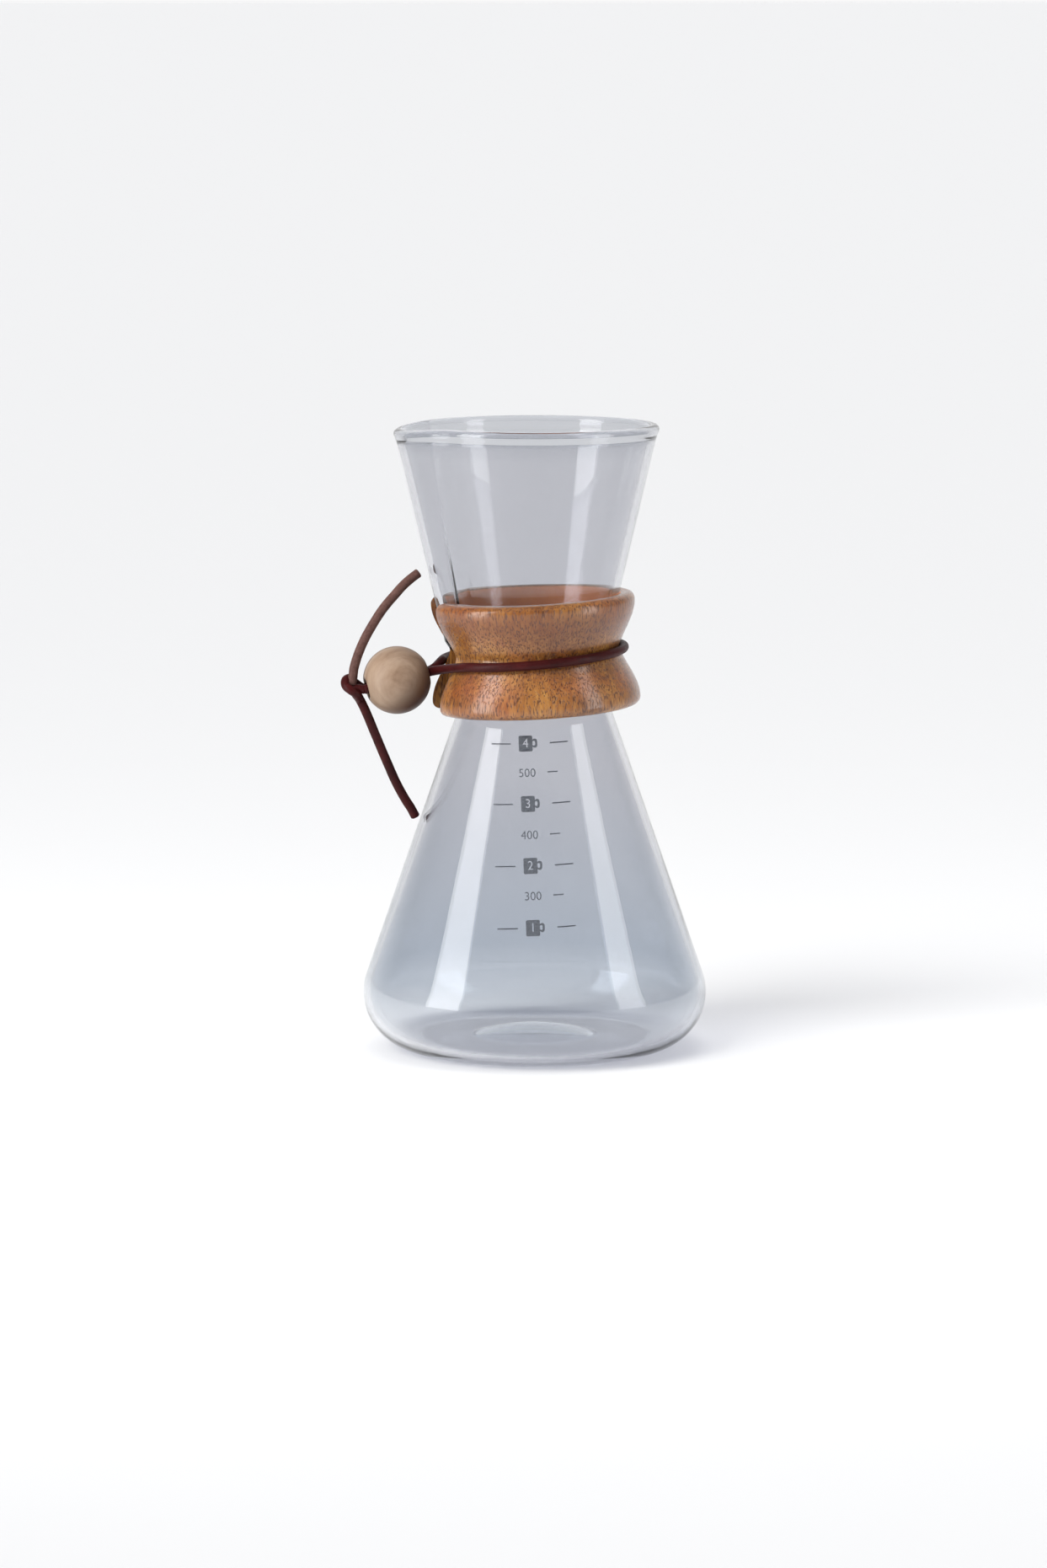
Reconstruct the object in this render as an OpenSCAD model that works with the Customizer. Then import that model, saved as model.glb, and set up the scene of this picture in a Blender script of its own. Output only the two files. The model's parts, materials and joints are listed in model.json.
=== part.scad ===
// Pour over coffee carafe: one blown glass body whose upper cone is the dripper and whose lower cone is the
// server, with a split wooden collar tied round its neck by a leather thong that runs through a wooden bead.
// The origin is the centre of the base on the table, +Z is up, and the spout points to -X.

/* [Glass] */
// Height from the table to the top of the rim
total_h = 202; // [190:1:215]
// Largest radius of the base
base_r = 55.5; // [53:0.1:58]
// Radius of the rounded corner between the foot and the lower cone
corner_r = 18.2; // [16:0.1:20]
// Lean of the lower cone from the vertical, in degrees
lower_lean = 19.1; // [18.5:0.1:19.5]
// Lean of the upper cone from the vertical, in degrees
upper_lean = 13.2; // [12.5:0.1:14]
// Height at which the lines of the two cones would cross
neck_z = 121; // [118:0.5:124]
// Radius of the hollow curve that joins the two cones
neck_fillet = 25; // [15:1:35]
// Thickness of the glass
wall = 2.2; // [1.8:0.1:2.6]
// Radius of the rounded bead of glass along the rim
lip_r = 1.6; // [1.4:0.1:2]
// Height of the hollow kick-up under the base
punt_h = 3.5; // [2:0.5:5]
// Radius of the hollow kick-up under the base
punt_r = 20; // [18:0.5:24]

/* [Spout] */
// Outside radius of the pouring channel at the rim
channel_r = 12.5; // [11:0.5:14]
// Outside radius of the channel's round lower end, in the open seam of the collar
channel_low_r = 5.2; // [4.7:0.1:5.2]
// How far the channel stands out of the upper cone
channel_out = 5.6; // [4.5:0.1:6]
// Height of the centre of the channel's round lower end
channel_low_z = 130; // [129:0.5:134]
// How far the rim dips at the spout
channel_dip = 1.2; // [0.5:0.1:2]

/* [Collar] */
// Height of the collar's lower edge
collar_z = 110.5; // [109.5:0.1:111.5]
// Height of the collar
collar_h = 36.3; // [35.5:0.1:37]
// Outside radius at the waist
waist_r = 27.2; // [26.8:0.1:28]
// Height of the waist
waist_z = 129; // [128:0.5:130]
// How far the upper edge stands out from the waist
flare_top = 5.8; // [5:0.1:6]
// How far the lower edge stands out from the waist
flare_low = 6.1; // [5.5:0.1:6.5]
// Half of the open gap between the two halves on the spout side
gap_spout = 5.5; // [5:0.1:7]
// Half of the gap between the two halves on the other side
gap_far = 0.6; // [0.4:0.1:1.5]
// Roll of the front half as it is tied, in degrees
front_roll = 3; // [0:0.5:3]
// Roll of the back half as it is tied, in degrees
back_roll = 1.5; // [0:0.5:2]
// How far the back half sits above the front half
back_lift = 0.6; // [0:0.1:1.2]
// Space between the wood and the glass
fit_gap = 0.25; // [0.2:0.05:0.4]

/* [Thong and bead] */
// Diameter of the leather thong
thong_d = 3; // [2.8:0.1:3.2]
// Radius of the wooden bead
bead_r = 10.9; // [10:0.1:11.2]
// Distance of the bead's centre from the axis of the glass
bead_x = 45; // [45:0.1:46]
// Height of the bead's centre
bead_z = 120.4; // [120:0.1:121]
// Fall of the bead's bore towards the knot, in degrees
bore_fall = 14; // [13:0.5:15]
// Radius of the knot
knot_r = 3.9; // [3.6:0.1:4.1]

/* [Hidden] */
$fn = 96;
far = 100; // longer than any piece, for cutting solids
thong_r = thong_d / 2;

// The foot's corner, and where it runs into the lower cone
corner_c = [base_r - corner_r, corner_r];
corner_end = corner_c + corner_r * [cos(lower_lean), sin(lower_lean)];
// Where the lines of the two cones cross, and the centre of the hollow curve between them
cross_r = corner_end[0] - tan(lower_lean) * (neck_z - corner_end[1]);
normal_low = [cos(lower_lean), sin(lower_lean)];
normal_up = [cos(upper_lean), -sin(upper_lean)];
neck_c = [cross_r, neck_z] + neck_fillet * (normal_low + normal_up) / (1 + normal_low * normal_up);
// The centre of the rim's bead of glass
lip_z = total_h - lip_r;
lip_inset = 0.2; // how far the bead of glass sits in from the middle of the wall
lip_c = upper_radius(lip_z) - wall / 2 - lip_inset;
// The sphere whose cap is the kick-up
punt_sphere = (punt_r * punt_r + punt_h * punt_h) / (2 * punt_h);
punt_c = [0, punt_h - punt_sphere];
punt_inner = asin((punt_r + 1) / (punt_sphere + wall));
// The channel's axis, at the height of the rim's bead and at its lower end, and how it leans and widens
channel_c = upper_radius(lip_z) + channel_out - channel_r;
channel_low_c = upper_radius(channel_low_z) + channel_out - channel_low_r;
channel_lean = atan((channel_c - channel_low_c) / (lip_z - channel_low_z));
channel_long = (lip_z - channel_low_z) / cos(channel_lean);
channel_widen = asin((channel_r - channel_low_r) / channel_long);
channel_top = lip_z - channel_dip;

// The collar, and the tilted plane in which the thong lies round it
collar_top = collar_z + collar_h;
edge_r = 2.4;
thong_gap = 0.45;
strand_y = thong_r + 0.05;
bore_r = strand_y + thong_r + 0.1;
bore_dir = [cos(bore_fall), 0, sin(bore_fall)];
bead_c = [-bead_x, 0, bead_z];
straight = 0.6; // how far the strands run straight on beyond the bead
knot_gap = 0.3;
hole_in = bead_c + (bead_r + straight) * bore_dir;
hole_out = bead_c - (bead_r + straight) * bore_dir;
knot_c = bead_c - (bead_r + knot_r + knot_gap) * bore_dir;
wrap_z = 127.9;
wrap_rise = 0.086;
wrap_start = 34; // angle, from the bead round by the front, at which the front strand meets the collar
wrap_end = 346; // the same for the back strand
wrap_steps = 32;

// The thong's two free ends, from inside the knot to their tips
upper_tail = [
    [-59.6, 0, 119.4], [-59.3, 0, 121.8], [-58.9, 0, 124.6], [-58, 0.2, 127.6], [-56.8, 0.3, 130.7],
    [-55.4, 0.4, 133.7], [-53.7, 0.6, 136.7], [-51.8, 0.8, 139.7], [-49.8, 1, 142.6], [-47.7, 1.2, 145.2],
    [-45.4, 1.3, 147.7], [-43.1, 1.5, 150.2], [-40.8, 1.8, 152.2], [-39.2, 2, 153.4], [-37.6, 2.1, 154.5]
];
lower_tail = [
    [-58.4, 0, 116.2], [-57.2, 0, 114.6], [-56, 0.1, 112.3], [-54.7, 0.3, 109.5], [-53.4, 0.5, 106.4],
    [-52, 0.8, 103], [-50.6, 1, 99.7], [-49.2, 1.3, 96.4], [-47.8, 1.6, 93.2], [-46.4, 1.9, 90],
    [-44.9, 2.2, 86.8], [-43.3, 2.6, 83.8], [-41.6, 3, 80.9], [-39.9, 3.4, 78.3], [-38.5, 3.7, 75.7]
];

// Radius of the outside of the upper cone at height z
function upper_radius(z) = cross_r + tan(upper_lean) * (z - neck_z);

// Points along an arc, from angle a to angle b
function arc(c, r, a, b, n) = [for (i = [0:n]) let (t = a + (b - a) * i / n) c + r * [cos(t), sin(t)]];

// The outline of the glass from the foot to height z, moved out by g
function side(g, z) = concat(
    arc(corner_c, corner_r + g, -90, lower_lean, 12),
    arc(neck_c, neck_fillet - g, 180 + lower_lean, 180 - upper_lean, 8),
    [[upper_radius(z) + g / cos(upper_lean), z]]
);

// Outside radius of the collar at height z: half a soft groove and half a sharp one at the waist
function collar_radius(z) =
    let (up = z > waist_z)
    let (span = up ? collar_top - edge_r - waist_z : waist_z - collar_z - edge_r)
    let (t = min(1, abs(z - waist_z) / span))
    let (soft = (1 - cos(180 * t)) / 2)
    waist_r + (up ? flare_top : flare_low) * (soft + sin(90 * t)) / 2;

// The cross-section of the collar, cut off at the inside by the glass
function collar_outline() = concat(
    [[1, collar_z]],
    arc([collar_radius(collar_z) - edge_r, collar_z + edge_r], edge_r, -90, 0, 4),
    [for (z = [collar_z + edge_r + 1.5 : 1.5 : collar_top - edge_r - 1]) [collar_radius(z), z]],
    arc([collar_radius(collar_top) - edge_r, collar_top - edge_r], edge_r, 0, 90, 4),
    [[1, collar_top]]
);

// A point of the thong's wrap at angle a, counted from the bead round by the front
function wrap_point(a) =
    let (x = -(waist_r + thong_r) * cos(a))
    let (z = wrap_z + wrap_rise * x)
    let (along = sin(a) > 0 ? z - tan(front_roll) * x : z - back_lift - tan(back_roll) * x)
    let (r = collar_radius(along) + thong_r + thong_gap)
    [-r * cos(a), -r * sin(a), z];

// The thong from the knot through the bead, round the collar and back through the bead
function strand(side_y) = [for (p = [hole_out, bead_c, hole_in]) p + [0, side_y, 0]];
wrap_route = concat(
    strand(-strand_y),
    [for (i = [0:wrap_steps]) wrap_point(wrap_start + (wrap_end - wrap_start) * i / wrap_steps)],
    [for (i = [2:-1:0]) strand(strand_y)[i]]
);

// Closed tube of n sides swept along a route: each ring stands square to the way ahead and behind
function unit(v) = v / norm(v);
function heading(p, i) = unit(p[min(i + 1, len(p) - 1)] - p[max(i - 1, 0)]);
module tube(route, r, n = 8) {
    rings = len(route);
    points = [
        for (i = [0:rings - 1])
            let (ahead = heading(route, i))
            let (across = unit(cross(ahead, abs(ahead[1]) > 0.9 ? [0, 0, 1] : [0, 1, 0])))
            let (over = cross(across, ahead))
            for (k = [0:n - 1])
                let (a = 360 * (k + 0.5) / n)
                route[i] + r * (cos(a) * across + sin(a) * over)
    ];
    walls = [
        for (i = [0:rings - 2])
            for (k = [0:n - 1])
                let (a = i * n + k)
                let (b = i * n + (k + 1) % n)
                for (face = [[a, a + n, b], [b, a + n, b + n]]) face
    ];
    ends = [
        [for (k = [0:n - 1]) k],
        [for (k = [n - 1:-1:0]) (rings - 1) * n + k]
    ];
    polyhedron(points, concat(walls, ends));
}

// The channel's solid, which narrows downwards to a round end, moved out by g, up to height z
module channel(g, z) {
    end_r = channel_low_r + g;
    start = -end_r * sin(channel_widen);
    start_r = end_r * cos(channel_widen);
    rise = channel_long + far / 4 - start;
    rise_r = start_r + rise * tan(channel_widen);
    difference() {
        translate([-channel_low_c, 0, channel_low_z]) rotate([0, -channel_lean, 0]) {
            sphere(end_r);
            translate([0, 0, start]) cylinder(r1 = start_r, r2 = rise_r, h = rise);
        }
        translate([-far, -far, z]) cube([2 * far, 2 * far, far]);
    }
}

// The rounded edge of glass round the mouth of the channel
module channel_lip() {
    difference() {
        translate([tan(upper_lean) * channel_dip - channel_c, 0, channel_top])
            rotate_extrude() translate([channel_r - wall / 2, 0]) circle(lip_r, $fn = 24);
        cylinder(r = lip_c, h = 3 * far);
    }
}

// Everything inside the outer face of the glass, moved out by g, from the floor of the kick-up to the rim
module envelope(g) {
    rotate_extrude() polygon(concat([[0, -g]], side(g, lip_z), [[0, lip_z]]));
    channel(g, channel_top);
}

module hollow() {
    rotate_extrude() polygon(concat(
        arc(punt_c, punt_sphere + wall, 90, 90 - punt_inner, 8),
        side(-wall, lip_z),
        [[upper_radius(total_h) - wall, total_h + 1], [0, total_h + 1]]
    ));
}

module glass_carafe() {
    color("lightsteelblue", 0.5) difference() {
        union() {
            difference() {
                envelope(0);
                hollow();
            }
            rotate_extrude() translate([lip_c, lip_z]) circle(lip_r, $fn = 24);
            channel_lip();
        }
        channel(-wall, far * 3);
        translate(concat([0], punt_c)) sphere(punt_sphere, $fn = 180);
    }
}

// One half of the collar, as a solid of plan outline limits, rolled about the waist and lifted
module collar_half(plan, roll, lift) {
    color("peru") difference() {
        translate([0, 0, waist_z + lift]) rotate([0, -roll, 0]) translate([0, 0, -waist_z]) intersection() {
            rotate_extrude() polygon(collar_outline());
            linear_extrude(2 * far) polygon(plan);
        }
        envelope(fit_gap);
    }
}

half_plan = [[-far, gap_spout], [0, gap_spout], [0, gap_far], [far, gap_far], [far, far], [-far, far]];

module collar_front() collar_half([for (p = half_plan) [p[0], -p[1]]], front_roll, 0);

module collar_back() collar_half(half_plan, back_roll, back_lift);

module bead() {
    color("burlywood") translate(bead_c) rotate([0, 90 - bore_fall, 0]) difference() {
        sphere(bead_r);
        cylinder(r = bore_r, h = 3 * bead_r, center = true);
    }
}

module thong_wrap() color("saddlebrown") tube(wrap_route, thong_r);

module thong_knot() color("saddlebrown") translate(knot_c) sphere(knot_r);

module thong_tail_upper() color("saddlebrown") tube(upper_tail, thong_r);

module thong_tail_lower() color("saddlebrown") tube(lower_tail, thong_r);

glass_carafe();
collar_front();
collar_back();
bead();
thong_wrap();
thong_knot();
thong_tail_upper();
thong_tail_lower();
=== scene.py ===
"""Looks of a pour over coffee carafe.

Its pieces are a blown glass body, a turned collar in two halves, a bead and a leather thong.
Lengths are in metres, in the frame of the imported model: +Z up, the spout and the bead towards -X.
"""

import json
import math

import bmesh
import bpy
import numpy as np
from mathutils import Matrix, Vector, noise


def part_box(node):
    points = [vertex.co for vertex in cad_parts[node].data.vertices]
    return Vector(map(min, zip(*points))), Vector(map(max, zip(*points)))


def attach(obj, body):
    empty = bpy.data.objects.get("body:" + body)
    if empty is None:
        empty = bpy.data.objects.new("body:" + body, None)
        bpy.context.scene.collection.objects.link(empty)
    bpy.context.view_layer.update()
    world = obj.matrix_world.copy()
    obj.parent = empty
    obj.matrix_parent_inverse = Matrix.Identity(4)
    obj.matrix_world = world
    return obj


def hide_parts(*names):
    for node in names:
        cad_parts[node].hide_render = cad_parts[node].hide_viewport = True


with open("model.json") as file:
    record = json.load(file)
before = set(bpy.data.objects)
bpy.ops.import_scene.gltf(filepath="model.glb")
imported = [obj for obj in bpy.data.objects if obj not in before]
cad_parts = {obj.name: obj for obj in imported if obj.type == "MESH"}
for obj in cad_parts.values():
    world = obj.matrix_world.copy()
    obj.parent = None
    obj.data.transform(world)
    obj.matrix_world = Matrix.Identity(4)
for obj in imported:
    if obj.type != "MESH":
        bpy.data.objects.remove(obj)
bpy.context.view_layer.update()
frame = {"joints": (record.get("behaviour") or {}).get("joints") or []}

MM = 0.001
UP = Vector((0, 0, 1))

# ---------------------------------------------------------------- sizes

# Glass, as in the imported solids
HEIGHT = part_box("glass_carafe")[1].z
BASE_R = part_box("glass_carafe")[1].y
CORNER_R = 18.2 * MM
LOWER_LEAN = math.radians(19.1)
UPPER_LEAN = math.radians(13.2)
NECK_Z = 121 * MM
NECK_FILLET = 25 * MM
WALL = 2.2 * MM
LIP_R = 1.6 * MM
LIP_INSET = 0.2 * MM
LIP_BLEND = 1.9 * MM
PUNT_H = 3.5 * MM
PUNT_R = 20 * MM
# How much thicker the glass is at the foot than elsewhere
FOOT_EXTRA = 0.8 * MM

# Spout: how far it stands out, and half its width as an angle at the rim and in the collar's seam.
# Between the two the width grows as the given power of the height above the lower end.
SPOUT_OUT = 5.7 * MM
SPOUT_HALF = math.radians(38)
SPOUT_HALF_LOW = math.radians(17)
SPOUT_WIDENING = 0.4
# Height of the spout's lower end, and the length over which it fades out below that
SPOUT_Z = 133 * MM
SPOUT_FADE = 10 * MM
# How far the rim dips at the spout, and how far down the glass the dip reaches
SPOUT_DIP = 1.2 * MM
SPOUT_DIP_REACH = 12 * MM

# Collar: its lower and upper face, its waist, how far it flares and the radii of its edges
COLLAR_Z = 110.5 * MM
COLLAR_TOP = 146.8 * MM
WAIST_R = 27.2 * MM
WAIST_Z = 129 * MM
FLARE_TOP = 5.8 * MM
FLARE_LOW = 6.1 * MM
COLLAR_EDGE = 2.4 * MM
INNER_EDGE = 0.7 * MM
# Half the gap between the two halves of the collar, at the spout and opposite
GAP_SPOUT = 5.5 * MM
GAP_FAR = 0.6 * MM
# How the halves are tilted and lifted as they are tied, and the gap between them and the glass
FRONT_ROLL = math.radians(3)
BACK_ROLL = math.radians(1.5)
BACK_LIFT = 0.6 * MM
FIT_GAP = 0.25 * MM

# Bead and thong
JOINT = frame["joints"][0]
BEAD_C = Vector(JOINT["pos_m"])
BORE_DIR = Vector(JOINT["axis"]).normalized()
BEAD_R = (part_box("bead")[1].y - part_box("bead")[0].y) / 2
BORE_R = 3.15 * MM
THONG_R = 1.5 * MM
# Gap between the thong and the collar
THONG_GAP = 0.06 * MM

# Camera: its turn round the glass from the front, how far it looks down, its distance, the height
# of the point it aims at, and how far left of the axis that point lies
VIEW_TURN = math.radians(-11)
VIEW_PITCH = math.radians(7.5)
VIEW_DISTANCE = 2.0
VIEW_AIM_Z = 85.65 * MM
VIEW_LEFT = 3.6 * MM
LENS_MM = 142.3
SENSOR_MM = 36


# ---------------------------------------------------------------- camera

def to_camera():
    """Level directions from the axis of the glass to the camera and to the camera's right."""
    back = Vector((math.sin(VIEW_TURN), -math.cos(VIEW_TURN), 0))
    right = Vector((math.cos(VIEW_TURN), math.sin(VIEW_TURN), 0))
    return back, right


def make_camera():
    """The camera that took the photo, as near as the photo tells."""
    back, right = to_camera()
    aim = UP * VIEW_AIM_Z
    way = (back * math.cos(VIEW_PITCH) + UP * math.sin(VIEW_PITCH)).normalized()
    place = aim + way * VIEW_DISTANCE
    camera = bpy.data.objects.new("camera", bpy.data.cameras.new("camera"))
    bpy.context.scene.collection.objects.link(camera)
    camera.data.lens = LENS_MM
    camera.data.sensor_width = SENSOR_MM
    camera.data.clip_start = 0.05
    camera.data.clip_end = 200
    camera.location = place
    look = aim - right * VIEW_LEFT - place
    camera.rotation_euler = look.to_track_quat("-Z", "Y").to_euler()
    bpy.context.scene.camera = camera


make_camera()


# ---------------------------------------------------------------- mesh helpers

# Points worked out on each span of a smooth curve before it is divided evenly
SPAN_STEPS = 24

# Lace: points round it, how uneven it is as a share of its radius, and the cells of that
# unevenness per metre
LACE_SIDES = 20
LACE_WOBBLE = 0.02
LACE_CELLS = 900
# How far a cut end stands out and how wide it is, as shares of the lace's radius
CUT_END_OUT = 0.18
CUT_END_WIDTH = 0.82
# Distance between the rings of points along the lace
LACE_STEP = 0.8 * MM


def new_piece(name, verts, faces, body, material=None, smooth=True):
    """A mesh piece that rides on a body, with its normals pointing out."""
    mesh = bpy.data.meshes.new(name)
    mesh.from_pydata([tuple(v) for v in verts], [], faces)
    shell = bmesh.new()
    shell.from_mesh(mesh)
    bmesh.ops.recalc_face_normals(shell, faces=shell.faces)
    shell.to_mesh(mesh)
    shell.free()
    mesh.polygons.foreach_set("use_smooth", [smooth] * len(mesh.polygons))
    piece = bpy.data.objects.new(name, mesh)
    bpy.context.scene.collection.objects.link(piece)
    if material:
        mesh.materials.append(material)
    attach(piece, body)
    return piece


def grid_faces(rows, columns):
    """Quads between rows of points, each row of which closes on itself."""
    faces = []
    for i in range(rows - 1):
        for k in range(columns):
            a = i * columns + k
            b = i * columns + (k + 1) % columns
            faces.append((a, b, b + columns, a + columns))
    return faces


def resample(points, step):
    """Evenly spaced points on a smooth curve through the given ones."""
    points = [Vector(p) for p in points]
    ends = [2 * points[0] - points[1]] + points + [2 * points[-1] - points[-2]]
    dense = []
    for i in range(1, len(ends) - 2):
        p0, p1, p2, p3 = ends[i - 1:i + 3]
        t1 = (p1 - p0).length ** 0.5
        t2 = t1 + (p2 - p1).length ** 0.5
        t3 = t2 + (p3 - p2).length ** 0.5
        for k in range(SPAN_STEPS):
            t = t1 + (t2 - t1) * k / SPAN_STEPS
            a1 = p0 * (t1 - t) / t1 + p1 * t / t1
            a2 = p1 * (t2 - t) / (t2 - t1) + p2 * (t - t1) / (t2 - t1)
            a3 = p2 * (t3 - t) / (t3 - t2) + p3 * (t - t2) / (t3 - t2)
            b1 = a1 * (t2 - t) / t2 + a2 * t / t2
            b2 = a2 * (t3 - t) / (t3 - t1) + a3 * (t - t1) / (t3 - t1)
            dense.append(b1 * (t2 - t) / (t2 - t1) + b2 * (t - t1) / (t2 - t1))
    dense.append(points[-1])
    lengths = np.cumsum([0] + [(b - a).length for a, b in zip(dense, dense[1:])])
    count = max(2, round(lengths[-1] / step))
    wanted = np.linspace(0, lengths[-1], count + 1)
    array = np.array([tuple(p) for p in dense])
    return [
        Vector(np.array([np.interp(w, lengths, array[:, k]) for k in range(3)]))
        for w in wanted
    ]


def sweep(route, radius, seed=0.0):
    """Vertices and faces of a lace along a route, a little uneven, with rounded cut ends."""
    rings = len(route)
    ahead = [
        (route[min(i + 1, rings - 1)] - route[max(i - 1, 0)]).normalized()
        for i in range(rings)
    ]
    across = ahead[0].orthogonal().normalized()
    stations = []
    for i in range(rings):
        across = (across - ahead[i] * across.dot(ahead[i])).normalized()
        stations.append((route[i], ahead[i], across.copy(), 1.0))
    start, way, side, _ = stations[0]
    before = (start - way * radius * CUT_END_OUT, way, side, CUT_END_WIDTH)
    end, way, side, _ = stations[-1]
    after = (end + way * radius * CUT_END_OUT, way, side, CUT_END_WIDTH)
    stations = [before, *stations, after]
    verts = []
    for centre, along, side, share in stations:
        over = along.cross(side)
        for k in range(LACE_SIDES):
            angle = 2 * math.pi * k / LACE_SIDES
            out = side * math.cos(angle) + over * math.sin(angle)
            cell = (centre + out * radius) * LACE_CELLS + Vector((seed, seed, seed))
            verts.append(centre + out * radius * share * (1 + LACE_WOBBLE * noise.noise(cell)))
    faces = grid_faces(len(stations), LACE_SIDES)
    faces.append(tuple(range(LACE_SIDES - 1, -1, -1)))
    faces.append(tuple(range(len(verts) - LACE_SIDES, len(verts))))
    return verts, faces


# ---------------------------------------------------------------- cords: the thong's two free ends

# The route of each end, from inside the knot to its tip, in millimetres as in the design
UPPER_TAIL = [
    (-59.6, 0, 119.4), (-59.3, 0, 121.8), (-58.9, 0, 124.6), (-58, 0.2, 127.6),
    (-56.8, 0.3, 130.7), (-55.4, 0.4, 133.7), (-53.7, 0.6, 136.7), (-51.8, 0.8, 139.7),
    (-49.8, 1, 142.6), (-47.7, 1.2, 145.2), (-45.4, 1.3, 147.7), (-43.1, 1.5, 150.2),
    (-40.8, 1.8, 152.2), (-39.2, 2, 153.4), (-37.6, 2.1, 154.5),
]
LOWER_TAIL = [
    (-58.4, 0, 116.2), (-57.2, 0, 114.6), (-56, 0.1, 112.3), (-54.7, 0.3, 109.5),
    (-53.4, 0.5, 106.4), (-52, 0.8, 103), (-50.6, 1, 99.7), (-49.2, 1.3, 96.4),
    (-47.8, 1.6, 93.2), (-46.4, 1.9, 90), (-44.9, 2.2, 86.8), (-43.3, 2.6, 83.8),
    (-41.6, 3, 80.9), (-39.9, 3.4, 78.3), (-38.5, 3.7, 75.7),
]


def make_tail(name, node, route_mm, seed):
    """A free end of the thong as a stiff cord, along a route in millimetres."""
    route = resample([Vector(p) * MM for p in route_mm], LACE_STEP)
    verts, faces = sweep(route, THONG_R, seed=seed)
    tail = new_piece(name, verts, faces, "carafe")
    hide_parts(node)
    return tail


tails = [
    make_tail("thong_end_upper", "thong_tail_upper", UPPER_TAIL, 3.0),
    make_tail("thong_end_lower", "thong_tail_lower", LOWER_TAIL, 8.0),
]


# ---------------------------------------------------------------- the glass body's outline

# How far out the floor has points of its own, and how far below the lip its thickening is drawn
FLOOR_R = 1.4 * PUNT_R
LIP_REACH = LIP_BLEND * 2.4

# Steps of the outline
FLOOR_STEPS = 42
CORNER_STEPS = 28
LOWER_STEPS = 24
NECK_STEPS = 14
UPPER_STEPS = 30
LIP_SIDE_STEPS = 14
LIP_TOP_STEPS = 20


def polar(angle):
    """A unit vector in the plane of radius and height."""
    return np.array([math.cos(angle), math.sin(angle)])


corner_c = np.array([BASE_R - CORNER_R, CORNER_R])
corner_end = corner_c + CORNER_R * polar(LOWER_LEAN)
cross_r = corner_end[0] - math.tan(LOWER_LEAN) * (NECK_Z - corner_end[1])
normal_low = polar(LOWER_LEAN)
normal_up = polar(-UPPER_LEAN)
neck_way = (normal_low + normal_up) / (1 + normal_low @ normal_up)
neck_c = np.array([cross_r, NECK_Z]) + NECK_FILLET * neck_way
lip_z = HEIGHT - LIP_R


def upper_radius(z):
    """Radius of the outside of the upper cone at height z, without the spout."""
    return cross_r + math.tan(UPPER_LEAN) * (z - NECK_Z)


def arc(centre, radius, start, end, count):
    """Points on an arc from one angle to another."""
    return [centre + radius * polar(start + (end - start) * i / count) for i in range(count + 1)]


def line(a, b, count):
    """Points from a to b, without a and b themselves."""
    return [a + (b - a) * i / count for i in range(1, count)]


def side_outline(inset, extra=0.0):
    """The side of the glass from the foot's corner to the neck, moved in by inset.

    The foot is moved in by extra as well, which fades out up the corner.
    """
    corner = arc(corner_c, CORNER_R - inset, -math.pi / 2, LOWER_LEAN, CORNER_STEPS)
    corner = [
        p + (corner_c - p) / CORNER_R * extra * (1 - i / CORNER_STEPS) ** 2
        for i, p in enumerate(corner)
    ]
    neck_low = math.pi + LOWER_LEAN
    neck_up = math.pi - UPPER_LEAN
    neck = arc(neck_c, NECK_FILLET + inset, neck_low, neck_up, NECK_STEPS)
    return corner + line(corner[-1], neck[0], LOWER_STEPS) + neck


def lip_outline():
    """The thickened top of the wall, from its outer side over the top to its inner side."""
    up_wall = np.array([math.sin(UPPER_LEAN), math.cos(UPPER_LEAN)])
    middle = np.array([upper_radius(lip_z) - WALL / 2 * math.cos(UPPER_LEAN), lip_z])

    def point(below, outward):
        """A point of the wall at a distance below the lip, outside (1) or inside (-1)."""
        swell = math.exp(-((below / LIP_BLEND) ** 2))
        half = WALL / 2 + (LIP_R - WALL / 2) * swell
        return middle - up_wall * below + normal_up * (outward * half - LIP_INSET * swell)

    drops = [LIP_REACH * i / LIP_SIDE_STEPS for i in range(LIP_SIDE_STEPS, 0, -1)]
    top = middle - normal_up * LIP_INSET
    over = [
        top + LIP_R * (math.cos(a) * normal_up + math.sin(a) * up_wall)
        for a in np.linspace(0, math.pi, LIP_TOP_STEPS + 1)
    ]
    return [point(d, 1) for d in drops] + over + [point(d, -1) for d in reversed(drops)]


def punt_z(r):
    """Height of the round hollow under the base at radius r."""
    sphere = (PUNT_R ** 2 + PUNT_H ** 2) / (2 * PUNT_H)
    return max(0.0, PUNT_H - sphere + math.sqrt(sphere ** 2 - r ** 2))


def glass_outline():
    """The outline of the wall: from the axis up the outside, over the lip and down the inside."""
    floor_radii = [FLOOR_R * i / FLOOR_STEPS for i in range(FLOOR_STEPS + 1)]
    lip = lip_outline()
    outer = side_outline(0)
    inner = side_outline(WALL, FOOT_EXTRA)
    under = [np.array([r, punt_z(r)]) for r in floor_radii]
    floor = [np.array([r, punt_z(r) + WALL + FOOT_EXTRA]) for r in floor_radii]
    outside = under + outer + line(outer[-1], lip[0], UPPER_STEPS) + lip
    return outside + line(lip[-1], inner[-1], UPPER_STEPS) + inner[::-1] + floor[::-1]


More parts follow.
